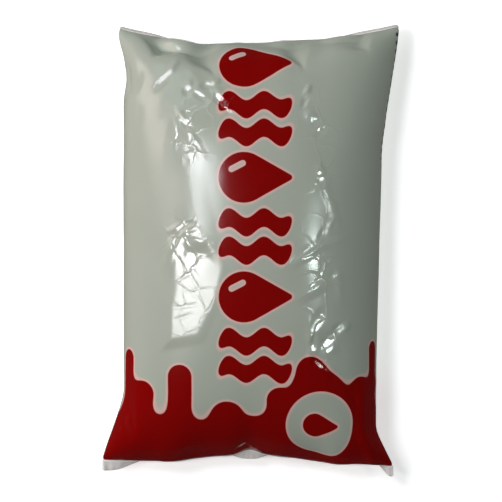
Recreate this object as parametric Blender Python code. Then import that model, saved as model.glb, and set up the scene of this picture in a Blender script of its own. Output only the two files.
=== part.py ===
"""One-litre pillow pouch of milk, lying on its back, as one closed solid.

The pouch is a tube of thin film, filled and welded flat at both ends. It is drawn the way
the filled film settles: a broad upper side with a low crown, a lower side flattened by its
own weight, rounded flanks where the tube turns over, four ears at the corners, and at each
end a narrow welded strip that stands out at the ears and is turned down between them.
Metres, +Z up, the origin at the middle of the resting face.
"""
import math

import bmesh
import bpy

for old in list(bpy.data.objects):
    bpy.data.objects.remove(old)

# ---- driving dimensions (metres) ----
LENGTH = 0.227            # over the welded strips, ear to ear
HEIGHT = 0.0490           # crown above the resting face
FLANK_LEFT = 0.0636       # middle line to the left flank
FLANK_RIGHT_TOP = 0.0653  # middle line to the right flank near the top end
FLANK_RIGHT_LOW = 0.0626  # the same near the bottom end
RIM_HEIGHT = 0.0140       # height of the widest point of the middle section
SEAM_HEIGHT = 0.0185      # height of the weld above the resting face
STRIP = 0.0055            # width of the welded strip
STRIP_THICKNESS = 0.0008  # two layers of film pressed together
SEAM_TOP = 0.1030         # weld from the middle, on the centre line, top end
SEAM_LOW = 0.1012         # the same at the bottom end
TIP_SHORT = 0.0040        # how far the bottom-left ear stays short of the others

# each ear: how far it reaches out from the flank, and where along the pouch it starts
# to grow and is fully out, measured from the middle
EAR_TOP_LEFT = (0.0032, 0.0960, 0.1060)
EAR_TOP_RIGHT = (0.0103, 0.0480, 0.1135)
EAR_LOW_LEFT = (0.0120, 0.0725, 0.1050)
EAR_LOW_RIGHT = (0.0098, 0.0860, 0.1070)

# how square the long and cross sections are: two exponents of a superellipse each
CROWN_LONG = (3.8, 1.6)
CROWN_CROSS = (2.4, 2.0)
BASE_LONG = (30.0, 2.2)
BASE_CROSS = (26.0, 2.0)

COLUMNS = 34              # facets across one side
BODY_ROWS = 27            # facets from the middle to a weld
STRIP_ROWS = 4            # facets across a welded strip

FILM_GREY = (0.48, 0.50, 0.43, 1.0)


def blend(low, high, value):
    """Smooth step from 0 at low to 1 at high."""
    t = min(1.0, max(0.0, (value - low) / (high - low)))
    return t * t * (3.0 - 2.0 * t)


def arch(fraction, shape):
    """Height of a superellipse at a fraction of its half width."""
    left = max(0.0, 1.0 - abs(fraction) ** shape[0])
    return left ** (1.0 / shape[1])


def ear(shape, y):
    """Reach of an ear at y."""
    reach, start, stop = shape
    t = min(1.0, max(0.0, (abs(y) - start) / (stop - start)))
    return reach * t ** 1.2


def flank(side, y):
    """Distance of the left or right edge from the middle line at y."""
    if side < 0:
        wide = ear(EAR_TOP_LEFT if y > 0 else EAR_LOW_LEFT, y)
        pinch = 0.0016 * math.exp(-((y - 0.086) / 0.007) ** 2)
        return FLANK_LEFT + wide - pinch
    wide = ear(EAR_TOP_RIGHT if y > 0 else EAR_LOW_RIGHT, y)
    lean = blend(-0.075, 0.060, y)
    return FLANK_RIGHT_LOW + (FLANK_RIGHT_TOP - FLANK_RIGHT_LOW) * lean + wide


def seam_y(across, end):
    """How far from the middle the weld lies, across being -1 at the left ear, 1 at the right."""
    centre = SEAM_TOP if end > 0 else SEAM_LOW
    tip = LENGTH / 2.0 - STRIP
    if end < 0:
        tip -= TIP_SHORT * 0.5 * (1.0 - across)
    return centre + (tip - centre) * abs(across) ** 3.0


def film(u, row, end, upper):
    """One point of the film: u across, row along from the middle, end and side chosen."""
    across = math.sin(u * math.pi / 2.0)
    along = math.sin(min(1.0, row / BODY_ROWS) * math.pi / 2.0)
    y = end * seam_y(across, end) * along
    side = 1 if across >= 0 else -1
    x = across * flank(side, y)
    rim = RIM_HEIGHT + (SEAM_HEIGHT - RIM_HEIGHT) * along ** 6
    half = STRIP_THICKNESS / 2.0
    if upper:
        square = (CROWN_CROSS[0] + 7.0 * along ** 8, CROWN_CROSS[1])
        rise = HEIGHT - rim
        lift = rise * arch(along, CROWN_LONG) * arch(across, square)
    else:
        square = (BASE_CROSS[0] - 19.0 * along ** 10, BASE_CROSS[1])
        lift = -rim * arch(along, BASE_LONG) * arch(across, square)
    edge = min(1.0, (1.0 - abs(across)) / 0.003)
    sign = 1.0 if upper else -1.0
    if row <= BODY_ROWS:
        skin = half * edge * blend(0.90, 1.0, along) * sign
        return x, y, max(0.0, rim + lift + skin)
    out = (row - BODY_ROWS) / STRIP_ROWS
    turn = 1.25 * (1.0 - abs(across) ** 2.5)
    reach = STRIP * out
    chamfer = 1.0 if out < 0.999 else 0.0
    thick = half * edge * sign * chamfer
    y += end * (reach * math.cos(turn) + thick * math.sin(turn))
    z = rim - reach * math.sin(turn) + thick * math.cos(turn)
    x = across * flank(side, y)
    return x, y, z


def panel(bm, upper):
    """One side of the flattened tube, from ear to ear, shaped by the fill."""
    rows = 2 * (BODY_ROWS + STRIP_ROWS)
    made = bmesh.ops.create_grid(bm, x_segments=COLUMNS, y_segments=rows, size=0.5)
    for vert in made["verts"]:
        u = max(-1.0, min(1.0, vert.co.x * 2.0))
        along = vert.co.y * rows
        end = 1 if along >= 0 else -1
        vert.co = film(u, round(abs(along)), end, upper)


bm = bmesh.new()
panel(bm, True)
panel(bm, False)
bmesh.ops.remove_doubles(bm, verts=bm.verts, dist=0.00002)
bmesh.ops.recalc_face_normals(bm, faces=bm.faces)
if bm.calc_volume(signed=True) < 0:
    bmesh.ops.reverse_faces(bm, faces=bm.faces)

# the middle of the bounding box goes to the origin, the resting face to z = 0
xs = [v.co.x for v in bm.verts]
ys = [v.co.y for v in bm.verts]
zs = [v.co.z for v in bm.verts]
shift = ((min(xs) + max(xs)) / -2.0, (min(ys) + max(ys)) / -2.0, -min(zs))
bmesh.ops.translate(bm, vec=shift, verts=bm.verts)

mesh = bpy.data.meshes.new("milk_pouch")
bm.to_mesh(mesh)
bm.free()
pouch = bpy.data.objects.new("milk_pouch", mesh)
bpy.context.scene.collection.objects.link(pouch)

film_material = bpy.data.materials.new("printed_film")
film_material.use_nodes = True
shader = film_material.node_tree.nodes["Principled BSDF"]
shader.inputs["Base Color"].default_value = FILM_GREY
shader.inputs["Roughness"].default_value = 0.28
mesh.materials.append(film_material)
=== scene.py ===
"""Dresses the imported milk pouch: a pillow of printed film, filled and lying on its back.

The film starts as a flat tube, welded at both ends. It is filled and settled on the floor as
a cloth that the milk's pressure pushes out, then fitted to the solid's edges. Folds and small
flats are pressed into its printed side, and the print is laid on in the film's own flat
plane. The settling is worked out here, in a fixed order, so that every run gives the same
film. Metres, +Z up, +Y to the end away from the colour band.
"""

import math

import bmesh
import bpy
import numpy as np
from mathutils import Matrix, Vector, noise
from mathutils.bvhtree import BVHTree


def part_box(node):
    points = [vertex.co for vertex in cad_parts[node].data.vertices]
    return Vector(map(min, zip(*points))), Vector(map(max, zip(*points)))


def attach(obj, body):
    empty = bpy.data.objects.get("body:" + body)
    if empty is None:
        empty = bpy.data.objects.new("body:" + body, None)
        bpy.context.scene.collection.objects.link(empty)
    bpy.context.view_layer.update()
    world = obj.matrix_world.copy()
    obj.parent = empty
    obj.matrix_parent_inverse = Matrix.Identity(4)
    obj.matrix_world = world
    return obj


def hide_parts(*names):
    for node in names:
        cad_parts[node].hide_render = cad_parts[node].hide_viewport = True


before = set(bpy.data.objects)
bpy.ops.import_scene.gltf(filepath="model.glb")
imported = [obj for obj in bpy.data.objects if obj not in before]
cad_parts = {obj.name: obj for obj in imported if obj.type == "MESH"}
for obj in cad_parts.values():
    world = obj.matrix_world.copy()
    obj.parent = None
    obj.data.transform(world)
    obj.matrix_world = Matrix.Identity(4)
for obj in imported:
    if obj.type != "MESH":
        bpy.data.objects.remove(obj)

bl_info = {
    "name": "Milk Pouch",
    "version": (1, 0, 0),
    "blender": (4, 5, 0),
    "location": "View3D > Sidebar > Pouch",
    "description": "Builds a filled pillow pouch of printed film around its packed solid",
    "category": "Object",
}

NODE = "milk_pouch"
LOW, HIGH = (Vector(corner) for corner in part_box(NODE))
MM = 0.001
SAME_PLACE, AT_EDGE = 1e-6, 1e-5    # metres within which points are one, or lie at the rim

# the flat tube at the start
COLUMNS, ROWS = 44, 68        # cells, one side
LIFT = 0.016                  # height of its middle above the floor
PUFF = 0.010                  # half the gap between its two layers
RIM_STEEPNESS = 6.0           # how steeply the gap opens from the flanks
WELD_TAPER = 0.010            # how far from a weld it is fully open
RIPPLE = 0.004                # unevenness, which decides where the film buckles
RIPPLE_SCALE, RIPPLE_X, RIPPLE_Y, RIPPLE_LAYER = 13.0, 7.0, 3.0, 0.5    # place in the noise

# how it fills and settles
MILK_DENSITY, GRAVITY = 1030.0, 9.81
FILL_PUSH, FILL_MOST = 40000.0, 1500.0    # extra pressure in an empty tube, and the most used
TIME_STEP = 0.0004
KEPT_SPEED = 0.985            # share of its speed that the film keeps each step

# how the film resists: cells apart, share of a stretch taken out, share of a squeeze
THREADS = (1, 1.0, 0.30)
BENDING = ((2, 0.0, 0.20), (4, 0.0, 0.06))
WELD_BENDING = (4, 0.0, 0.5)
SHEAR = (0.6, 0.15)           # the two shares on a cell's diagonals


class PouchFilm(bpy.types.PropertyGroup):
    """Sizes of the film tube and how it is filled."""

    width: bpy.props.FloatProperty(
        name="Tube width", description="Width of the tube when flat",
        default=0.150, unit="LENGTH", precision=4)
    length: bpy.props.FloatProperty(
        name="Tube length", description="Length of the flat tube between its welds",
        default=0.226, unit="LENGTH", precision=4)
    strip: bpy.props.FloatProperty(
        name="Weld strip", description="Width of the welded strip at each end",
        default=0.0058, unit="LENGTH", precision=4)
    volume: bpy.props.FloatProperty(
        name="Fill", description="Volume of milk, more for a tighter pouch",
        default=0.00102, unit="VOLUME", precision=6)
    steps: bpy.props.IntProperty(
        name="Steps", description="Steps of time for which the film settles",
        default=1400, min=200, max=4000)
    height: bpy.props.FloatProperty(
        name="Height", description="Crown above the floor once filled",
        default=HIGH.z, unit="LENGTH", precision=4)
    seam_top: bpy.props.FloatProperty(
        name="Top weld", description="Weld from the middle, on the centre line, top end",
        default=0.1040, unit="LENGTH", precision=4)
    seam_low: bpy.props.FloatProperty(
        name="Bottom weld", description="Weld from the middle, on the centre line, bottom end",
        default=0.1020, unit="LENGTH", precision=4)


class PouchPrint(bpy.types.PropertyGroup):
    """Colours of the film and its inks, and where the print lies."""

    film: bpy.props.FloatVectorProperty(
        name="Film", description="Milky grey film",
        default=(0.395, 0.425, 0.360), size=3, subtype="COLOR")
    weld: bpy.props.FloatVectorProperty(
        name="Weld", description="Whiter film of the welded strips, with no milk behind it",
        default=(0.93, 0.88, 0.85), size=3, subtype="COLOR")
    red: bpy.props.FloatVectorProperty(
        name="Red ink", description="Deep red of the band and the marks",
        default=(0.228, 0.0012, 0.0008), size=3, subtype="COLOR")
    fringe: bpy.props.FloatVectorProperty(
        name="Fringe", description="Pale pink that the red ink leaves round its edges",
        default=(0.72, 0.44, 0.40), size=3, subtype="COLOR")
    dark: bpy.props.FloatVectorProperty(
        name="Dark ink", description="Near black of the small dashes",
        default=(0.02, 0.012, 0.012), size=3, subtype="COLOR")
    band: bpy.props.FloatProperty(
        name="Band height", description="Where the red band's foot line lies along the film",
        default=-0.082, unit="LENGTH", precision=4)
    disc: bpy.props.FloatProperty(
        name="Disc radius", description="Radius of the plain disc in the band",
        default=0.0168, unit="LENGTH", precision=4)


class PouchStage(bpy.types.PropertyGroup):
    """Camera and lights."""

    span: bpy.props.FloatProperty(
        name="Picture width", description="Width that the camera takes in at the pouch",
        default=0.251, unit="LENGTH", precision=3)
    distance: bpy.props.FloatProperty(
        name="Camera height", description="Camera above the floor",
        default=1.2, unit="LENGTH")
    key: bpy.props.FloatProperty(
        name="Key light", description="Power of the brightest soft light, above on the left",
        default=2.3, unit="POWER")


# The flat tube and its settling

def edge_blend(low, high, value):
    """Smooth step from 0 at low to 1 at high, on numbers or arrays."""
    t = np.clip((value - low) / (high - low), 0.0, 1.0)
    return t * t * (3.0 - 2.0 * t)


def new_mesh(name, bm):
    """A mesh from a bmesh, which is freed."""
    mesh = bpy.data.meshes.new(name)
    bm.to_mesh(mesh)
    bm.free()
    return mesh


def new_object(name, data):
    """An object in the scene that holds the data."""
    made = bpy.data.objects.new(name, data)
    bpy.context.scene.collection.objects.link(made)
    return made


def flat_tube(film):
    """Two grids on top of each other, joined round the rim, a little apart inside it."""
    width, length = film.width, film.length
    bm = bmesh.new()
    on_film = bm.verts.layers.float_vector.new("on_film")
    for side in (1, -1):
        made = bmesh.ops.create_grid(bm, x_segments=COLUMNS, y_segments=ROWS, size=0.5)
        for vert in made["verts"]:
            x, y = vert.co.x * width, vert.co.y * length
            to_rim = min(abs(abs(x) - width / 2.0), abs(abs(y) - length / 2.0))
            vert[on_film] = (x, y, 0.0 if to_rim < SAME_PLACE else side)
            from_flank = min(1.0, (1.0 - abs(2.0 * x / width)) * RIM_STEEPNESS)
            from_weld = min(1.0, (length / 2.0 - abs(y)) / WELD_TAPER)
            place = Vector((x * RIPPLE_SCALE + RIPPLE_X, y * RIPPLE_SCALE + RIPPLE_Y, RIPPLE_LAYER))
            puff = PUFF * from_flank * from_weld
            vert.co = (x, y, LIFT + side * puff + RIPPLE * noise.noise(place))
    bmesh.ops.remove_doubles(bm, verts=bm.verts, dist=SAME_PLACE)
    return new_mesh("flat_tube", bm)


def points(mesh, what="co"):
    """The places of a mesh's vertices, or their normals, as an array."""
    values = np.empty(len(mesh.vertices) * 3)
    mesh.vertices.foreach_get(what, values)
    return values.reshape(-1, 3)


def vectors(mesh, name):
    """A vector attribute of a mesh's vertices as an array."""
    values = np.empty(len(mesh.vertices) * 3, dtype=np.float32)
    mesh.attributes[name].data.foreach_get("vector", values)
    return values.reshape(-1, 3).astype(float)


def layer_grid(film, flat, side):
    """The numbers of one layer's vertices, by row and column."""
    mine = np.nonzero((flat[:, 2] == side) | (flat[:, 2] == 0))[0]
    column = np.rint((flat[mine, 0] / film.width + 0.5) * COLUMNS).astype(int)
    row = np.rint((flat[mine, 1] / film.length + 0.5) * ROWS).astype(int)
    grid = np.zeros((ROWS + 1, COLUMNS + 1), dtype=int)
    grid[row, column] = mine
    return grid


def spans(grid, step, pull, give):
    """Pairs of vertices step cells apart along and across, in batches that use none twice."""
    batches = []
    for turned in (grid, grid.T):
        last = turned.shape[1] - step
        for odd in (0, 1):
            here = np.array([c for c in range(last) if (c // step) % 2 == odd], dtype=int)
            batches.append((turned[:, here].ravel(), turned[:, here + step].ravel(), pull, give))
    return batches


def slants(grid, pull, give):
    """Pairs of vertices across each cell's two diagonals, in batches that use none twice."""
    batches = []
    for odd in (0, 1):
        rows = np.arange(odd, grid.shape[0] - 1, 2)
        batches.append((grid[rows, :-1].ravel(), grid[rows + 1, 1:].ravel(), pull, give))
        batches.append((grid[rows, 1:].ravel(), grid[rows + 1, :-1].ravel(), pull, give))
    return batches


def push_out(film, now, grids):
    """The milk's push on each vertex: its weight, and more while the tube isn't full."""
    top, cells, volume = now[:, 2].max(), [], 0.0
    for side, grid in grids:
        corner = now[grid]
        one, two = corner[1:, 1:] - corner[:-1, :-1], corner[1:, :-1] - corner[:-1, 1:]
        area = np.cross(one, two) * (0.5 * side)
        middle = (corner[1:, 1:] + corner[:-1, :-1] + corner[1:, :-1] + corner[:-1, 1:]) / 4.0
        volume += (area * middle).sum() / 3.0
        cells.append((grid, area, middle[:, :, 2]))
    extra = min(FILL_MOST, max(0.0, FILL_PUSH * (1.0 - volume / film.volume)))
    push = np.zeros_like(now)
    near, far = slice(None, -1), slice(1, None)
    for grid, area, height in cells:
        force = area * ((extra + MILK_DENSITY * GRAVITY * (top - height)) / 4.0)[:, :, None]
        whole = np.zeros(grid.shape + (3,))
        for rows, columns in ((far, far), (near, near), (far, near), (near, far)):
            whole[rows, columns] += force
        push[grid] += whole
    return push


def settle(mesh, film):
    """Fills the flat tube on a floor, and returns its vertices once settled."""
    flat = vectors(mesh, "on_film")
    grids = [(side, layer_grid(film, flat, side)) for side in (1, -1)]
    batches = []
    for side, grid in grids:
        batches += spans(grid, *THREADS) + slants(grid, *SHEAR)
        for stiffness in BENDING:
            batches += spans(grid, *stiffness)
    for weld in (grids[0][1][:1], grids[0][1][-1:]):
        batches += spans(weld, *WELD_BENDING)[:2]
    rests = [np.hypot(*(flat[b, :2] - flat[a, :2]).T) for a, b, pull, give in batches]
    now = points(mesh)
    before = now.copy()
    pace = TIME_STEP ** 2 * len(now) / (MILK_DENSITY * film.volume)
    for _ in range(film.steps):
        ahead = now + KEPT_SPEED * (now - before) + push_out(film, now, grids) * pace
        before, now = now, ahead
        for (a, b, pull, give), rest in zip(batches, rests):
            gap = now[b] - now[a]
            size = np.sqrt((gap * gap).sum(axis=1))
            share = np.where(size > rest, pull, give) * 0.5 * (size - rest) / size
            shift = gap * share[:, None]
            now[a] += shift
            now[b] -= shift
        under = now[:, 2] < 0.0
        now[under, 2] = 0.0
        # the floor's grip halves the slide
        now[under, :2] = 0.5 * (now[under, :2] + before[under, :2])
    return now


# Fitting to the solid's edges

# each ear: how far it reaches out from the flank, and where along the pouch it starts
# to grow and is fully out, measured from the middle; by side and end
EARS = {
    (-1, 1): (0.0032, 0.0960, 0.1060), (1, 1): (0.0103, 0.0480, 0.1135),
    (-1, -1): (0.0122, 0.0700, 0.1045), (1, -1): (0.0098, 0.0885, 0.1075),
}
EAR_CURVE = 1.2
FLANK_LEFT, FLANK_RIGHT_TOP, FLANK_RIGHT_LOW = 0.0636, 0.0653, 0.0626
FLANK_LEAN = (-0.075, 0.060)    # places along the pouch between which the right flank widens
FLANK_PINCH = (0.0016, 0.086, 0.007)    # depth, place and half length of the left one's waist

# the welds, with places across the pouch from -1 at the left ear to 1 at the right
TOP_SHORT, TOP_SKEW, TOP_CURVE = 0.0016, 0.0005, 2.2    # how far its tips stay inside the box
TOP_DIPS = ((-0.36, 0.16, -0.0013), (0.30, 0.15, 0.0007))    # middle, half width, outward
LOW_RISE, LOW_RISE_AT = (0.0029, 0.0042), (0.08, 0.64)    # outward on the left and right
LOW_TIPS, LOW_TIP_CURVE = (-0.0008, 0.0014), 6
LIFTED = 0.0030         # how far the bottom weld is pulled up at the middle of its line
LIFTED_MIDDLE, LIFTED_HALF = -0.01, 0.07

WELD_FADE, FLANK_FADE = 4, 2    # how quickly the fit fades away from the welds and flanks
REST_SINK = 0.0002      # how far the lowest film goes under, which levels the patch it rests on


def hump(value, middle, half):
    """A smooth rise to 1 at the middle, nearly gone at two half widths from it."""
    return np.exp(-((value - middle) / half) ** 2)


def flank(side, y):
    """Distance of the solid's left or right edge from the middle line at y."""
    ears = []
    for end in (1, -1):
        reach, start, stop = EARS[side, end]
        ears.append(reach * np.clip((np.abs(y) - start) / (stop - start), 0.0, 1.0) ** EAR_CURVE)
    wide = np.where(y > 0, ears[0], ears[1])
    if side < 0:
        depth, place, half = FLANK_PINCH
        return FLANK_LEFT + wide - depth * hump(y, place, half)
    lean = edge_blend(*FLANK_LEAN, y)
    return FLANK_RIGHT_LOW + (FLANK_RIGHT_TOP - FLANK_RIGHT_LOW) * lean + wide


def weld_line(film, across, end):
    """How far from the middle a weld lies; across is -1 at its left ear and 1 at its right."""
    if end > 0:
        tip = (HIGH.y - LOW.y) / 2.0 - TOP_SHORT + TOP_SKEW * across
        line = film.seam_top + (tip - film.seam_top) * np.abs(across) ** TOP_CURVE
        for middle, half, outward in TOP_DIPS:
            line = line + outward * hump(across, middle, half)
        return line
    left = across < 0
    rise = np.where(left, *LOW_RISE) * edge_blend(*LOW_RISE_AT, np.abs(across))
    tips = np.where(left, *LOW_TIPS) * np.abs(across) ** LOW_TIP_CURVE
    return film.seam_low + rise + tips - LIFTED * hump(across, LIFTED_MIDDLE, LIFTED_HALF)


def fit(film, co, flat):
    """Moves the settled film to the solid's welds, flanks and height."""
    half, reach = film.width / 2.0, film.length / 2.0
    co = co.copy()
    for end in (1, -1):
        weld = np.nonzero(np.abs(flat[:, 1] * end - reach) < AT_EDGE)[0]
        weld = weld[np.argsort(co[weld, 0])]
        across = co[weld, 0] / np.abs(co[weld, 0]).max()
        ratio = weld_line(film, across, end) / (end * co[weld, 1])
        mine = co[:, 1] * end > 0
        change = np.interp(co[mine, 0], co[weld, 0], ratio)
        far = np.interp(co[mine, 0], co[weld, 0], end * co[weld, 1])
        share = np.clip(np.abs(co[mine, 1]) / far, 0.0, 1.0) ** WELD_FADE
        co[mine, 1] *= 1.0 + (change - 1.0) * share
    for side in (1, -1):
        rim = np.nonzero(flat[:, 0] * side > half - AT_EDGE)[0]
        rim = rim[np.argsort(co[rim, 1])]
        mine = co[:, 0] * side > 0
        widest = np.interp(co[mine, 1], co[rim, 1], side * co[rim, 0])
        share = np.clip(np.abs(co[mine, 0]) / widest, 0.0, 1.0) ** FLANK_FADE
        co[mine, 0] *= 1.0 + (flank(side, co[mine, 1]) / widest - 1.0) * share
    co[:, 2] -= co[:, 2].min() + REST_SINK
    co[:, 2] = np.maximum(co[:, 2], 0.0) * (film.height / co[:, 2].max())
    return co


def finished_film(film, tube, co):
    """The fitted film, subdivided, as the pouch's own piece."""
    tube.vertices.foreach_set("co", co.ravel())
    bm = bmesh.new()
    bm.from_mesh(tube)
    on_film = bm.verts.layers.float_vector["on_film"]
    sharp = bm.edges.layers.float.new("crease_edge")
    for edge in bm.edges:
        if all(abs(abs(v[on_film].y) - film.length / 2.0) < AT_EDGE for v in edge.verts):
            edge[sharp] = 1.0
    bmesh.ops.recalc_face_normals(bm, faces=bm.faces)
    if bm.calc_volume(signed=True) < 0.0:
        bmesh.ops.reverse_faces(bm, faces=bm.faces)
    base = new_object("film_base", new_mesh("film", bm))
    rounding = base.modifiers.new("Subdivision", "SUBSURF")
    rounding.levels = rounding.render_levels = 2
    graph = bpy.context.evaluated_depsgraph_get()
    smooth = bpy.data.meshes.new_from_object(base.evaluated_get(graph))
    bpy.data.objects.remove(base)
    smooth.name = "pouch_film"
    smooth.materials.clear()
    smooth.shade_smooth()
    return new_object("pouch_film", smooth)


def store(mesh, name, values):
    """Keeps one number for each vertex."""
    layer = mesh.attributes.new(name, "FLOAT", "POINT")
    layer.data.foreach_set("value", np.asarray(values, dtype=np.float32))


# Lamps, and the slopes of film that mirror them to the camera

# each lamp: lean from upright and bearing in degrees, distance, size, share of the key's
# power, tone
LAMPS = {
    "key": (22, 150, 0.75, (0.14, 0.17), 0.66, (0.98, 1.00, 1.05)),
    "left_glint": (25.3, 184, 1.10, (0.13, 0.21), 1.00, (1.00, 1.00, 1.00)),
    "right_glint": (30, 0, 1.10, (0.06, 0.12), 0.44, (0.84, 1.00, 0.95)),
    "top_fill": (45, 120, 1.10, (0.40, 0.50), 0.54, (0.72, 1.00, 1.00)),
    "near_left": (55, 158, 0.54, (0.25, 0.30), 0.40, (1.20, 1.00, 0.97)),
}
GLINT_LAMPS = ("key", "left_glint", "right_glint")


def lamp_place(name):
    """Where a lamp hangs."""
    lean, bearing, distance = LAMPS[name][:3]
    lean, bearing = math.radians(lean), math.radians(bearing)
    flat = math.sin(lean)
    return Vector((flat * math.cos(bearing), flat * math.sin(bearing), math.cos(lean))) * distance


GLINT_HEIGHT = 0.9      # share of the crown's height at which the small flats lie


def mirror_slope(stage, x, y, x_slope, y_slope):
    """Of the slopes at x, y in millimetres that mirror a lamp to the camera, the nearest one."""
    here = Vector((x * MM, y * MM, HIGH.z * GLINT_HEIGHT))
    to_eye = (Vector((0.0, 0.0, stage.distance)) - here).normalized()
    best = None
    for name in GLINT_LAMPS:
        half = to_eye + (lamp_place(name) - here).normalized()
        slope = (-half.x / half.z, -half.y / half.z)
        change = math.hypot(slope[0] - x_slope, slope[1] - y_slope)
        if best is None or change < best[0]:
            best = (change, slope)
    return best[1]


# Folds and hollows, placed on the printed side in millimetres from its middle

DRAPES = (  # from the weld, to the tip, half width at the weld, depth
    ((-43, 106), (-48, 96), 10.0, 4.4), ((-27, 104), (-18, 87), 11.0, 4.8),
    ((19, 105), (26, 90), 9.0, 3.4), ((50, 108), (58, 99), 11.0, 3.0),
    ((-4, -103), (-2, -94), 7.0, 1.8), ((-28, -103), (-25, -96), 8.0, 1.3),
    ((30, -104), (33, -97), 9.0, 0.5),
)
FOLDS = (  # from and to, half width, height; a negative height is a crease
    ((-58, 74), (-43, 96), 5.0, 0.45), ((-60, 50), (-41, 80), 6.0, 0.35),
    ((-50, 20), (-42, 58), 6.0, 0.25), ((-30, 92), (-25, 80), 4.0, 0.40),
    ((-43, -8), (-34, 9), 3.0, 0.30), ((-34, 9), (-26, 12), 2.5, 0.25),
    ((-39, 2), (-43, -40), 4.0, 0.35), ((-36, 66), (-24, 46), 3.0, 0.30),
    ((15, 88), (30, 84), 3.5, 0.25), ((26, 75), (33, 58), 3.0, 0.35),
    ((33, 40), (39, 24), 3.0, 0.30), ((39, 24), (43, 12), 3.0, 0.30),
    ((18, -8), (33, 2), 3.0, 0.35), ((33, 2), (46, 6), 3.0, 0.30),
    ((22, -24), (36, -16), 3.5, 0.35), ((43, -10), (44, -24), 3.0, 0.30),
    ((28, -34), (32, -52), 3.0, 0.40), ((32, -52), (41, -60), 2.5, 0.40),
    ((37, -40), (46, -52), 3.0, -0.30), ((41, -60), (54, -88), 3.0, 0.30),
    ((55, -68), (55, -90), 4.0, 1.10), ((55, -90), (62, -107), 4.0, 1.10),
    ((-61, -73), (-59, -90), 3.5, -1.20),
    ((-65, 107), (-62, 111), 2.0, 0.50), ((-58, 98), (-60, 62), 4.0, 0.55),
    ((-59.5, 78), (-61.5, 92), 3.0, -1.00), ((-59, 62), (-62, 10), 4.0, 0.35),
)
# each flat between folds: corners, clockwise, how far the film gives way, how deep it sinks
FACETS = (
    (((-31, 0), (-23, 0), (-16, -8), (-19, -24), (-26, -41), (-40, -44), (-39, -28), (-35, -11)),
     0.94, 0.15),
)
LINES = (  # from and to of the thin sharp creases
    ((-36, -14), (-30, -11)), ((-30, -11), (-21, -27)), ((-40, -28), (-25, -26)),
    ((-31, -17), (-24, -26)), ((-38, -34), (-29, -31)), ((29, 3), (36, -4)),
    ((36, -4), (43, -13)), ((39, -40), (33, -47)), ((44, -44), (35, -50)),
    ((30, 66), (36, 60)), ((-22, 78), (-14, 72)), ((-35, 66), (-29, 54)),
)
LINE_HALF, LINE_DEPTH = 1.3, 0.11
# each small flat that faces the light: middle, half length, half width, turn in degrees
GLINTS = (
    ((-25, 77), 3.2, 1.6, -35), ((-20, 82), 3.0, 1.3, 15), ((-15, 75), 3.4, 2.0, -60),
    ((-11, 69), 2.8, 1.3, -50), ((-31, 80), 2.6, 1.5, 75), ((-42, 86), 5.5, 1.6, 52),
    ((-33, 64), 4.5, 1.1, -62), ((-28, 54), 4.5, 1.1, -58),
    ((-34, 12), 4.0, 1.1, 20), ((-38, 4), 4.5, 1.1, 65),
    ((27, 76), 3.5, 1.1, 70), ((31, 64), 3.4, 1.9, -40), ((34, 60), 2.8, 1.8, 60),
    ((34, 37), 3.8, 1.4, -80), ((37, 11), 4.2, 1.1, 55), ((28, 1), 4.5, 1.1, 35),
    ((20, -4), 3.0, 1.0, 40), ((41, -12), 2.0, 1.0, 10), ((32, -37), 5.5, 2.0, 68),
    ((30, -48), 4.2, 1.3, 80), ((38, -46), 4.0, 2.8, 60), ((44, -38), 3.0, 1.8, 30),
    ((34, -56), 4.6, 1.4, -45),
)
# each finely creased place: middle across and along, half width, half length, amount
CREASED = (
    (-18, 74, 16, 13, 1.0), (-31, 56, 13, 20, 0.8), (31, 62, 13, 22, 1.0),
    (36, 34, 10, 16, 0.8), (-33, 4, 14, 17, 0.8), (-29, -22, 17, 32, 0.4),
    (33, -8, 19, 22, 0.8), (34, -46, 17, 22, 0.8), (-50, 82, 18, 24, 0.2),
    (-62, -82, 9, 16, 0.2), (60, -90, 12, 20, 0.25), (24, 84, 14, 10, 0.3),
)
CREASED_LEAST = 0.03    # of the film elsewhere
CREASED_REACH = 1.4     # where it has faded out, in half widths

# long shallow folds over the whole film, drawn at random between these limits
SEED, SOFT_FOLDS = 11, 46
SOFT_TURN, SOFT_LENGTH = (0.8, 2.3), (25.0, 60.0)    # radians from across the tube
SOFT_HALF, SOFT_HEIGHT = (7.0, 13.0), (-0.20, 0.35)

FOLD_FADE = 0.25                    # share of a fold's length over which each end fades
RIDGE_ROUND = 0.15                  # how round its ridge is, in square millimetres
DRAPE_LEAST, DRAPE_MOST = 0.12, 1.3    # shares of its width that a hollow keeps within
DRAPE_FADE = (0.35, 1.15)           # shares of its length between which it fades out
FLAT_EDGE = (-1.5, 5.0)             # millimetres from its edge where the large flat blends out
GLINT_EDGE = (0.7, 2.1)             # the same for a small flat, in its half widths
GLINT_PATCH = 1.2                   # reach of the film that gives its plane, in half widths
FOLDED = (0.15, 0.5)                # upward parts of the normal between which folds fade in
UPPER = 0.2                         # least upward part for flats and creases


def from_line(x, y, start, end):
    """Distances along a line from its start, distances off it, and its length."""
    run = np.hypot(end[0] - start[0], end[1] - start[1])
    along = ((x - start[0]) * (end[0] - start[0]) + (y - start[1]) * (end[1] - start[1])) / run
    off = np.abs((x - start[0]) * (end[1] - start[1]) - (y - start[1]) * (end[0] - start[0]))
    return along, off / run, run


def fold_height(x, y, start, end, half, height):
    """A straight fold: a tent that is highest on its line and fades at both ends."""
    along, off, run = from_line(x, y, start, end)
    fade = FOLD_FADE * run
    ends = edge_blend(-fade, fade, along) * edge_blend(-fade, fade, run - along)
    tent = np.maximum(0.0, 1.0 - np.sqrt(off ** 2 + RIDGE_ROUND) / half)
    return height * ends * tent


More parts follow.
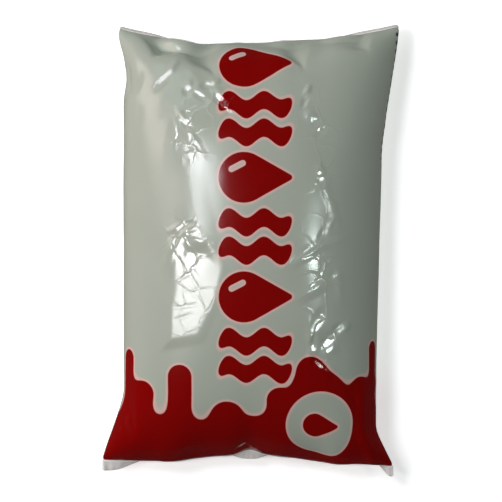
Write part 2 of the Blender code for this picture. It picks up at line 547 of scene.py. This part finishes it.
def drape_depth(x, y, start, tip, half, depth):
    """A hollow that hangs from a weld and narrows to a tip."""
    along, off, run = from_line(x, y, start, tip)
    along = along / run
    width = half * np.clip(1.0 - along, DRAPE_LEAST, DRAPE_MOST)
    return depth * np.exp(-(off / width) ** 2) * (1.0 - edge_blend(*DRAPE_FADE, along))


def fitted_plane(stage, x, y, z, inside):
    """The plane through a patch of film, turned to mirror the nearest lamp."""
    middle_x, middle_y, middle_z = x[inside].mean(), y[inside].mean(), z[inside].mean()
    offsets = np.column_stack((x[inside] - middle_x, y[inside] - middle_y))
    slope = np.linalg.lstsq(offsets, z[inside] - middle_z, rcond=None)[0]
    slope = mirror_slope(stage, middle_x, middle_y, *slope)
    return middle_z + slope[0] * (x - middle_x) + slope[1] * (y - middle_y)


def press_flat(stage, x, y, z, corners, share, sink):
    """Heights in millimetres after the film inside the corners has gone flat."""
    corners = np.array(corners, dtype=float)
    nearest = np.full(len(x), -np.inf)
    for one, two in zip(corners, np.roll(corners, -1, axis=0)):
        run = np.hypot(*(two - one))
        out = ((y - one[1]) * (two[0] - one[0]) - (x - one[0]) * (two[1] - one[1])) / run
        nearest = np.maximum(nearest, out)
    pressed = fitted_plane(stage, x, y, z, nearest < 0.0) - sink
    return z + share * (1.0 - edge_blend(*FLAT_EDGE, nearest)) * (pressed - z)


def face_light(stage, x, y, z, middle, long, wide, turn):
    """Heights in millimetres with a small oval flat at middle that mirrors a lamp."""
    c, s = math.cos(math.radians(turn)), math.sin(math.radians(turn))
    dx, dy = x - middle[0], y - middle[1]
    away = np.hypot((dx * c + dy * s) / long, (dy * c - dx * s) / wide)
    pressed = fitted_plane(stage, x, y, z, away < GLINT_PATCH)
    return z + (1.0 - edge_blend(*GLINT_EDGE, away)) * (pressed - z)


def film_across(film, on_film):
    """Distance round the tube from the printed side's middle, positive to the right."""
    x, side = on_film[:, 0], on_film[:, 2]
    return np.where(side < 0, np.where(x > 0, film.width, -film.width) - x, x)


def short_way(film, gap):
    """A distance in millimetres round the tube, taken the shorter way."""
    turn = film.width / MM
    return (gap + turn) % (2.0 * turn) - turn


def soft_folds(film, on_film, out):
    """Adds the long shallow folds to the heights, in the film's flat plane."""
    u, v = film_across(film, on_film) / MM, on_film[:, 1] / MM
    draw = np.random.default_rng(SEED)
    turn = film.width / MM
    for _ in range(SOFT_FOLDS):
        middle_u, middle_v = draw.uniform(-turn, turn), draw.uniform(-0.5, 0.5) * film.length / MM
        angle, run = draw.uniform(*SOFT_TURN), draw.uniform(*SOFT_LENGTH)
        half, height = draw.uniform(*SOFT_HALF), draw.uniform(*SOFT_HEIGHT)
        du, dv = short_way(film, u - middle_u), v - middle_v
        step = (math.cos(angle) * run / 2.0, math.sin(angle) * run / 2.0)
        near = np.abs(du) + np.abs(dv) < run + 2.0 * half
        out[near] += fold_height(du[near], dv[near], (-step[0], -step[1]), step, half, height)


def flattened(stage, x, y, z):
    """Heights in millimetres of the printed side once its flats and sharp creases are in."""
    for corners, share, sink in FACETS:
        z = press_flat(stage, x, y, z, corners, share, sink)
    for middle, long, wide, angle in GLINTS:
        z = face_light(stage, x, y, z, middle, long, wide, angle)
    for start, end in LINES:
        z = z + fold_height(x, y, start, end, LINE_HALF, -LINE_DEPTH)
    return z


def creased_share(co, upper):
    """How finely the film is creased at each vertex, from 0 to 1."""
    creased = np.full(len(co), CREASED_LEAST)
    for across, along, wide, long, amount in CREASED:
        away = np.hypot((co[:, 0] / MM - across) / wide, (co[:, 1] / MM - along) / long)
        creased += amount * (1.0 - edge_blend(0.0, CREASED_REACH, away))
    return np.where(upper, np.minimum(creased, 1.0), CREASED_LEAST)


def crumple(film, stage, mesh):
    """Lays the hollows, folds and flats on the film, and keeps the patch that it rests on."""
    co, normals = points(mesh), points(mesh, "normal")
    x, y = co[:, 0] / MM, co[:, 1] / MM
    shown = edge_blend(*FOLDED, normals[:, 2])
    out = np.zeros(len(co))
    for start, tip, half, depth in DRAPES:
        out -= drape_depth(x, y, start, tip, half, depth) * shown
    for start, end, half, height in FOLDS:
        out += fold_height(x, y, start, end, half, height) * shown
    soft_folds(film, vectors(mesh, "on_film"), out)
    co += normals * (out * MM)[:, None]
    upper = normals[:, 2] > UPPER
    co[upper, 2] = flattened(stage, *(co[upper] / MM).T) * MM
    co[:, 2] = np.maximum(co[:, 2], 0.0)
    mesh.vertices.foreach_set("co", co.ravel())
    mesh.update()
    store(mesh, "creased", creased_share(co, upper))


# Print, as distances from the edges of simple shapes in the film's flat plane

def smooth_union(one, other, soft):
    """Joins two shapes with a rounded corner between them."""
    h = np.clip(0.5 + 0.5 * (other - one) / soft, 0.0, 1.0)
    return other * (1.0 - h) + one * h - soft * h * (1.0 - h)


def bar(x, y, start, end, radius):
    """Distance from a bar with round ends."""
    dx, dy = end[0] - start[0], end[1] - start[1]
    t = np.clip(((x - start[0]) * dx + (y - start[1]) * dy) / (dx * dx + dy * dy), 0.0, 1.0)
    return np.hypot(x - start[0] - t * dx, y - start[1] - t * dy) - radius


def drop(x, y, radius, tip, length):
    """Distance from a drop: a large round end at the origin, a small one at length along x."""
    b = (radius - tip) / length
    a = math.sqrt(1.0 - b * b)
    side = np.abs(y)
    k = a * x - b * side
    straight = a * side + b * x - radius
    big = np.hypot(x, y) - radius
    small = np.hypot(x - length, y) - tip
    return np.where(k < 0.0, big, np.where(k > a * length, small, straight))


def wave(x, y, half, rise, period, radius):
    """Distance from a wavy bar along x with round ends."""
    slope = rise * 2.0 * math.pi / period
    lean = (y - rise * np.sin(x * 2.0 * math.pi / period)) / math.sqrt(1.0 + 0.5 * slope ** 2)
    return np.hypot(np.maximum(np.abs(x) - half, 0.0), lean) - radius


# the band's tongues round the tube: place, height of the tip above the foot line, half width
TONGUES = (
    (-66, 33, 4.5), (-55, 18, 6.5), (-35, 27, 6.0), (-12, 9, 8.0), (14, 16, 6.5),
    (34, 24, 15.0), (29, 31, 7.0), (56, 20, 6.0), (67, 37, 3.8), (86, 19, 8.0),
    (104, 29, 5.5), (122, 14, 8.0), (142, 26, 6.0), (-140, 17, 7.0), (-122, 30, 5.0),
    (-104, 16, 9.0), (-84, 26, 6.0),
)
BAND_WAVE, BAND_WAVES = 1.5, 5.0    # rise of the foot line's wave, and waves round the tube
TONGUE_ROOT, TONGUE_SOFT = 20.0, 7.0    # how far below the line a tongue starts; its corners
COLUMN = (92.0, 64.0, 35.5, 7.0, -22.0, -50.5)   # places of the marks along the film
COLUMN_MIDDLE, COLUMN_HALF = 2.0, 40.0
DROP, DROP_SHIFT = (12.3, 1.5, 22.0), 5.5    # round end, tip and length; half its overhang
DROP_GLINT = ((-11.5, 4.0), (-6.0, 6.8), 1.5)    # from, to and radius
WAVY_BAR, WAVY_GAP = (14.0, 2.3, 17.0, 3.9), 6.8    # half length, rise, period, radius
DISC, DISC_SQUEEZE = (34.5, -84.8), 0.96
DISC_DROP, DISC_DROP_SHIFT = (6.0, 0.8, 11.5), 3.0
DASH_PITCH, DASH_HALF = 4.2, 1.1
DASHES = ((74.2, 2.0), (78.0, 32.0))    # middle and half size of their row, across and along


def column_mark(u, v, number, place):
    """Distance from a mark of the column: a drop with a glint, or a pair of wavy bars."""
    du, dv = u - COLUMN_MIDDLE, v - place
    if number % 2 == 0:
        return np.maximum(drop(du + DROP_SHIFT, dv, *DROP), -bar(du, dv, *DROP_GLINT))
    return np.minimum(wave(du, dv - WAVY_GAP, *WAVY_BAR), wave(du, dv + WAVY_GAP, *WAVY_BAR))


def lay_print(film, ink, mesh):
    """Works out how far each point of the film lies from the edge of each ink."""
    on_film = vectors(mesh, "on_film")
    u, v = film_across(film, on_film) / MM, on_film[:, 1] / MM
    turn = film.width / MM
    foot = ink.band / MM
    band = v - foot - BAND_WAVE * np.sin(u * 2.0 * math.pi * BAND_WAVES / (2.0 * turn))
    for place, rise, half in TONGUES:
        du = short_way(film, u - place)
        tongue = bar(du, v, (0.0, foot - TONGUE_ROOT), (0.0, foot + rise - half), half)
        band = smooth_union(band, tongue, TONGUE_SOFT)
    disc = np.hypot((u - DISC[0]) * DISC_SQUEEZE, v - DISC[1]) - ink.disc / MM
    mark = drop(u - DISC[0] + DISC_DROP_SHIFT, v - DISC[1], *DISC_DROP)
    red = np.minimum(np.maximum(band, -disc), mark)
    for number, place in enumerate(COLUMN):
        shape = column_mark(u, v, number, place)
        red = np.minimum(red, np.where(np.abs(u) < COLUMN_HALF, shape, COLUMN_HALF))
    ranks = np.abs((v + DASH_PITCH / 2.0) % DASH_PITCH - DASH_PITCH / 2.0) - DASH_HALF
    for value, (middle, half) in zip((u, v), DASHES):
        ranks = np.maximum(ranks, np.abs(value - middle) - half)
    store(mesh, "red_edge", red * MM)
    store(mesh, "dark_edge", ranks * MM)


# Materials

CREASE_HEIGHT, SWELL_HEIGHT = 0.00009, 0.00007    # of the thin crease lines, and slow swells
CREASE_HALF, CREASE_BEND = 0.07, 0.009    # of a line, in cells; how far it wanders, in metres
CREASE_SCALE, WELD_CREASE_SCALE, WELD_CREASED = 80.0, 200.0, 0.7
CLOUD_SCALE, ROUGH_SCALE, SWELL_SCALE, BEND_SCALE = 22.0, 60.0, 36.0, 90.0
FILM_ROUGHNESS, LEAST_ROUGHNESS = (0.24, 0.27), 0.12    # the least where creased or inked
FULLY_CREASED = 0.75    # where the creased film is at its glossiest
INK_SMOOTHER = 0.12     # how much less rough the inked film is
# metres from a mark's edge at which the colour starts and is full
FRINGE, INK, DASH = (0.0015, 0.0006), (0.00014, -0.00014), (0.0001, -0.0001)
FRINGE_SHARE, DASH_SHARE = 0.85, 0.85
CLOUD_PALE, CLOUD_DULL, INK_DULL = 1.04, 0.95, 0.9    # of the colours, where cloudy
NOISE_LOW, NOISE_HIGH = 0.3, 0.7    # between which a noise's values mostly lie
FILM_IOR, FILM_SPECULAR = 1.5, 0.48


def link(tree, source, target):
    """Joins a socket to an input, or gives the input a plain value."""
    if isinstance(source, bpy.types.NodeSocket):
        tree.links.new(source, target)
    else:
        target.default_value = source


def math_node(tree, operation, first, second):
    """A Math node on sockets or numbers, and its output."""
    made = tree.nodes.new("ShaderNodeMath")
    made.operation = operation
    link(tree, first, made.inputs[0])
    link(tree, second, made.inputs[1])
    return made.outputs[0]


def range_node(tree, value, low, high, to_low, to_high):
    """A Map Range node with clamped ends, and its output."""
    made = tree.nodes.new("ShaderNodeMapRange")
    names = ("Value", "From Min", "From Max", "To Min", "To Max")
    for name, source in zip(names, (value, low, high, to_low, to_high)):
        link(tree, source, made.inputs[name])
    return made.outputs[0]


def noise_node(tree, vector, scale, detail=2.0, output="Fac"):
    """A Noise Texture, and its value or colour."""
    made = tree.nodes.new("ShaderNodeTexNoise")
    for name, source in (("Vector", vector), ("Scale", scale), ("Detail", detail)):
        link(tree, source, made.inputs[name])
    return made.outputs[output]


def attribute_node(tree, name):
    """An Attribute node for a number stored on the film, and its output."""
    made = tree.nodes.new("ShaderNodeAttribute")
    made.attribute_name = name
    return made.outputs["Fac"]


def mix_colour(tree, share, first, second):
    """A colour Mix node on sockets or colours, and its output."""
    made = tree.nodes.new("ShaderNodeMix")
    made.data_type = "RGBA"
    link(tree, share, made.inputs[0])
    for place, value in ((6, first), (7, second)):
        plain = not isinstance(value, bpy.types.NodeSocket)
        link(tree, (*value, 1.0) if plain else value, made.inputs[place])
    return made.outputs[2]


def film_grain():
    """Node group: cloudy tone, soft swell and fine creases of polyethylene film."""
    group = bpy.data.node_groups.get("Film Grain")
    if group:
        return group
    group = bpy.data.node_groups.new("Film Grain", "ShaderNodeTree")
    face = group.interface
    face.new_socket("Vector", in_out="INPUT", socket_type="NodeSocketVector")
    for name, value in (("Crease Scale", CREASE_SCALE), ("Creased", 0.0)):
        face.new_socket(name, in_out="INPUT", socket_type="NodeSocketFloat").default_value = value
    for name in ("Cloud", "Gloss", "Height"):
        face.new_socket(name, in_out="OUTPUT", socket_type="NodeSocketFloat")
    into = group.nodes.new("NodeGroupInput")
    out = group.nodes.new("NodeGroupOutput")
    where, creased = into.outputs["Vector"], into.outputs["Creased"]
    link(group, noise_node(group, where, CLOUD_SCALE, 3.0), out.inputs["Cloud"])
    uneven = noise_node(group, where, ROUGH_SCALE, 3.0)
    rough = range_node(group, uneven, NOISE_LOW, NOISE_HIGH, *FILM_ROUGHNESS)
    shiny = range_node(group, creased, 0.0, FULLY_CREASED, 0.0, 1.0)
    spare = math_node(group, "SUBTRACT", rough, LEAST_ROUGHNESS)
    sheen = math_node(group, "MULTIPLY", spare, shiny)
    link(group, math_node(group, "SUBTRACT", rough, sheen), out.inputs["Gloss"])
    bend = group.nodes.new("ShaderNodeVectorMath")
    bend.operation = "MULTIPLY_ADD"
    link(group, noise_node(group, where, BEND_SCALE, output="Color"), bend.inputs[0])
    link(group, (CREASE_BEND,) * 3, bend.inputs[1])
    link(group, where, bend.inputs[2])
    cells = group.nodes.new("ShaderNodeTexVoronoi")
    cells.feature = "DISTANCE_TO_EDGE"
    link(group, bend.outputs[0], cells.inputs["Vector"])
    link(group, into.outputs["Crease Scale"], cells.inputs["Scale"])
    tents = range_node(group, cells.outputs["Distance"], 0.0, CREASE_HALF, CREASE_HEIGHT, 0.0)
    slow = noise_node(group, where, SWELL_SCALE, 1.0)
    swell = range_node(group, slow, 0.0, 1.0, 0.0, SWELL_HEIGHT)
    ridges = math_node(group, "MULTIPLY", tents, creased)
    link(group, math_node(group, "ADD", ridges, swell), out.inputs["Height"])
    return group


def lay_inks(tree, ink, cloud, colour, gloss):
    """The film's colour and roughness once the fringe, the red and the dashes are over them."""
    edge = attribute_node(tree, "red_edge")
    fringe = range_node(tree, edge, *FRINGE, 0.0, FRINGE_SHARE)
    colour = mix_colour(tree, fringe, colour, ink.fringe)
    inked = range_node(tree, edge, *INK, 0.0, 1.0)
    tone = mix_colour(tree, cloud, [c * INK_DULL for c in ink.red], ink.red)
    colour = mix_colour(tree, inked, colour, tone)
    smoother = math_node(tree, "MULTIPLY", inked, INK_SMOOTHER)
    gloss = math_node(tree, "SUBTRACT", gloss, smoother)
    gloss = math_node(tree, "MAXIMUM", gloss, LEAST_ROUGHNESS)
    dashes = range_node(tree, attribute_node(tree, "dark_edge"), *DASH, 0.0, DASH_SHARE)
    return mix_colour(tree, dashes, colour, ink.dark), gloss


def film_material(ink, printed):
    """Milky film, glossiest where creased or inked, with its inks on the tube only."""
    material = bpy.data.materials.new("printed_film" if printed else "bare_film")
    material.use_nodes = True
    tree = material.node_tree
    shader = tree.nodes["Principled BSDF"]
    grain = tree.nodes.new("ShaderNodeGroup")
    grain.node_tree = film_grain()
    link(tree, tree.nodes.new("ShaderNodeTexCoord").outputs["Object"], grain.inputs["Vector"])
    cloud, gloss = grain.outputs["Cloud"], grain.outputs["Gloss"]
    body = ink.film if printed else ink.weld
    pale = [min(1.0, c * CLOUD_PALE) for c in body]
    colour = mix_colour(tree, cloud, [c * CLOUD_DULL for c in body], pale)
    if printed:
        link(tree, attribute_node(tree, "creased"), grain.inputs["Creased"])
        colour, gloss = lay_inks(tree, ink, cloud, colour, gloss)
    else:
        link(tree, WELD_CREASE_SCALE, grain.inputs["Crease Scale"])
        link(tree, WELD_CREASED, grain.inputs["Creased"])
    bump = tree.nodes.new("ShaderNodeBump")
    for name, source in (("Strength", 1.0), ("Distance", 1.0), ("Height", grain.outputs["Height"])):
        link(tree, source, bump.inputs[name])
    for name, source in (("Base Color", colour), ("Roughness", gloss),
                         ("Normal", bump.outputs["Normal"]), ("IOR", FILM_IOR),
                         ("Specular IOR Level", FILM_SPECULAR)):
        link(tree, source, shader.inputs[name])
    return material


# Operators

class MILKPOUCH_OT_film(bpy.types.Operator):
    """Fills and settles the film, lays its folds and print on it, and gives it its material"""

    bl_idname = "milkpouch.film"
    bl_label = "Filled Film"

    def execute(self, context):
        film, ink = context.scene.pouch_film, context.scene.pouch_print
        tube = flat_tube(film)
        co = fit(film, settle(tube, film), vectors(tube, "on_film"))
        pouch = finished_film(film, tube, co)
        crumple(film, context.scene.pouch_stage, pouch.data)
        lay_print(film, ink, pouch.data)
        pouch.data.materials.append(film_material(ink, True))
        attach(pouch, "root")
        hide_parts(NODE)
        return {"FINISHED"}


class MILKPOUCH_OT_strips(bpy.types.Operator):
    """Adds the welded strip beyond each end of the film, turned down between the ears"""

    bl_idname = "milkpouch.strips"
    bl_label = "Weld Strips"

    def execute(self, context):
        film, ink = context.scene.pouch_film, context.scene.pouch_print
        mesh = bpy.data.objects["pouch_film"].data
        co, on_film = points(mesh), vectors(mesh, "on_film")
        bare = film_material(ink, False)
        tube = BVHTree.FromPolygons(co.tolist(), [face.vertices[:] for face in mesh.polygons])
        for end, name in ((1, "weld_strip_top"), (-1, "weld_strip_low")):
            weld = np.nonzero(np.abs(on_film[:, 1] * end - film.length / 2.0) < AT_EDGE)[0]
            line = co[weld[np.argsort(on_film[weld, 0])]]
            strip = welded_strip(film, tube, line, end, name)
            strip.data.materials.append(bare)
            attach(strip, "root")
        return {"FINISHED"}


# how far the strips turn down, in radians, and how it eases off towards the ears, between
# places from 0 at the middle line to 1 at the ear
TOP_TURN, TOP_EASE, TOP_EASE_AT = 1.55, 0.27, (0.48, 0.75)
LOW_TURN, LOW_EASE, LOW_EASE_FROM, LOW_EASE_TO = 1.62, 1.35, (0.68, 0.86), 0.99
LOW_LIFT_HALF = 0.09        # half width of the lifted middle, where the strip shows
# height of each ripple, its waves, how far they sway, and the sway's own waves
RIPPLES = ((0.00045, 41.0, 2.0, 7.0), (0.00040, 150.0, 3.0, 11.0))
STRIP_COLUMNS, STRIP_ROWS = 300, 8
STRIP_THICKNESS, STRIP_CLEAR = 0.00035, 0.0004    # the second is its gap from the film
RAY_START = 0.2             # how far from the middle the search for the film starts


def strip_turn(across, end):
    """How far a strip is turned down; across is -1 at the left ear, 1 at the right."""
    if end > 0:
        return TOP_TURN - TOP_EASE * edge_blend(*TOP_EASE_AT, abs(across))
    start = LOW_EASE_FROM[0] if across < 0 else LOW_EASE_FROM[1]
    eased = LOW_EASE * edge_blend(start, LOW_EASE_TO, abs(across))
    return LOW_TURN - eased - hump(across, LIFTED_MIDDLE, LOW_LIFT_HALF)


def welded_strip(film, tube, line, end, name):
    """A thin double layer of film along a weld, laid against the tube where it is turned down."""
    bm = bmesh.new()
    made = bmesh.ops.create_grid(bm, x_segments=STRIP_COLUMNS, y_segments=STRIP_ROWS, size=0.5)
    stations = np.linspace(0.0, 1.0, len(line))
    for vert in made["verts"]:
        along, out = vert.co.x + 0.5, vert.co.y + 0.5
        x, y, z = (float(np.interp(along, stations, line[:, axis])) for axis in range(3))
        across = 2.0 * along - 1.0
        turn = strip_turn(across, end)
        ripple = sum(height * out * math.sin(across * waves + sway * math.sin(across * slow))
                     for height, waves, sway, slow in RIPPLES)
        reach = film.strip * out
        y_out = y + end * reach * math.cos(turn)
        side = 1 if x > 0 else -1
        x_out = x * float(flank(side, y_out) / flank(side, y))
        z_out = z - reach * math.sin(turn) + ripple
        beyond = Vector((x_out, end * RAY_START, z_out))
        touch = tube.ray_cast(beyond, Vector((0.0, -end, 0.0)))[0]
        if touch:
            y_out = end * max(end * y_out, end * touch.y + STRIP_CLEAR * out)
        vert.co = (x_out, y_out, z_out)
    bmesh.ops.recalc_face_normals(bm, faces=bm.faces)
    strip = new_object(name, new_mesh(name, bm))
    thick = strip.modifiers.new("Solidify", "SOLIDIFY")
    thick.thickness = STRIP_THICKNESS
    thick.offset = 0.0
    strip.data.shade_smooth()
    return strip


AIM_HEIGHT = 0.02           # of the point over the floor's middle that the lights face


def soft_light(name, key):
    """A rectangular light that faces the pouch."""
    size, share, tone = LAMPS[name][3:]
    data = bpy.data.lights.new(name, "AREA")
    data.shape = "RECTANGLE"
    data.size, data.size_y = size
    data.energy = key * share
    data.color = tone
    lamp = new_object(name, data)
    lamp.location = lamp_place(name)
    aim = Vector((0.0, 0.0, AIM_HEIGHT)) - lamp.location
    lamp.rotation_euler = aim.to_track_quat("-Z", "Y").to_euler()


FLOOR_HALF = 3.0
FLOOR_COLOUR, FLOOR_ROUGHNESS, FLOOR_GLOW = (0.9, 0.9, 0.89, 1.0), 0.9, 0.58
WHITE, WORLD_STRENGTH = (1.0, 1.0, 1.0, 1.0), 0.02
SENSOR = 36.0               # of the camera, in millimetres
OUTLINE_HEIGHT = 0.35       # share of the crown's height at which the outline is widest


def add_floor():
    """A pale floor that glows a little, so that it stays white in the picture."""
    bm = bmesh.new()
    bmesh.ops.create_grid(bm, x_segments=1, y_segments=1, size=FLOOR_HALF)
    floor = new_object("floor", new_mesh("floor", bm))
    pale = bpy.data.materials.new("pale_floor")
    pale.use_nodes = True
    shader = pale.node_tree.nodes["Principled BSDF"]
    shader.inputs["Base Color"].default_value = FLOOR_COLOUR
    shader.inputs["Roughness"].default_value = FLOOR_ROUGHNESS
    shader.inputs["Emission Color"].default_value = WHITE
    shader.inputs["Emission Strength"].default_value = FLOOR_GLOW
    floor.data.materials.append(pale)
    floor.visible_glossy = False


def add_world(scene):
    """A faint even light from all round."""
    world = bpy.data.worlds.new("studio")
    world.use_nodes = True
    back = world.node_tree.nodes["Background"]
    back.inputs["Color"].default_value = WHITE
    back.inputs["Strength"].default_value = WORLD_STRENGTH
    scene.world = world


def add_camera(scene, stage):
    """The camera over the pouch's middle."""
    data = bpy.data.cameras.new("camera")
    data.sensor_width = SENSOR
    data.lens = SENSOR * (stage.distance - HIGH.z * OUTLINE_HEIGHT) / stage.span
    camera = new_object("camera", data)
    camera.location = (0.0, 0.0, stage.distance)
    scene.camera = camera


class MILKPOUCH_OT_stage(bpy.types.Operator):
    """Adds the pale floor, the soft lights and the camera that looks straight down"""

    bl_idname = "milkpouch.stage"
    bl_label = "Stage"

    def execute(self, context):
        scene, stage = context.scene, context.scene.pouch_stage
        add_floor()
        for name in LAMPS:
            soft_light(name, stage.key)
        add_world(scene)
        add_camera(scene, stage)
        scene.view_settings.view_transform = "Standard"
        return {"FINISHED"}


class MILKPOUCH_PT_panel(bpy.types.Panel):
    """Lists the pouch's pieces in the sidebar."""

    bl_label = "Milk Pouch"
    bl_space_type = "VIEW_3D"
    bl_region_type = "UI"
    bl_category = "Pouch"

    def draw(self, context):
        scene, column = context.scene, self.layout.column()
        for made in OPERATORS:
            column.operator(made.bl_idname)
        for group in (scene.pouch_film, scene.pouch_print, scene.pouch_stage):
            for name in group.__annotations__:
                column.prop(group, name)


OPERATORS = (MILKPOUCH_OT_film, MILKPOUCH_OT_strips, MILKPOUCH_OT_stage)
CLASSES = (PouchFilm, PouchPrint, PouchStage, *OPERATORS, MILKPOUCH_PT_panel)


def register():
    for made in CLASSES:
        bpy.utils.register_class(made)
    bpy.types.Scene.pouch_film = bpy.props.PointerProperty(type=PouchFilm)
    bpy.types.Scene.pouch_print = bpy.props.PointerProperty(type=PouchPrint)
    bpy.types.Scene.pouch_stage = bpy.props.PointerProperty(type=PouchStage)


def unregister():
    del bpy.types.Scene.pouch_stage
    del bpy.types.Scene.pouch_print
    del bpy.types.Scene.pouch_film
    for made in reversed(CLASSES):
        bpy.utils.unregister_class(made)


def main():
    """Builds every piece around the frame."""
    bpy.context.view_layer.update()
    register()
    bpy.ops.milkpouch.film()
    bpy.ops.milkpouch.strips()
    bpy.ops.milkpouch.stage()


if __name__ == "__main__":
    main()
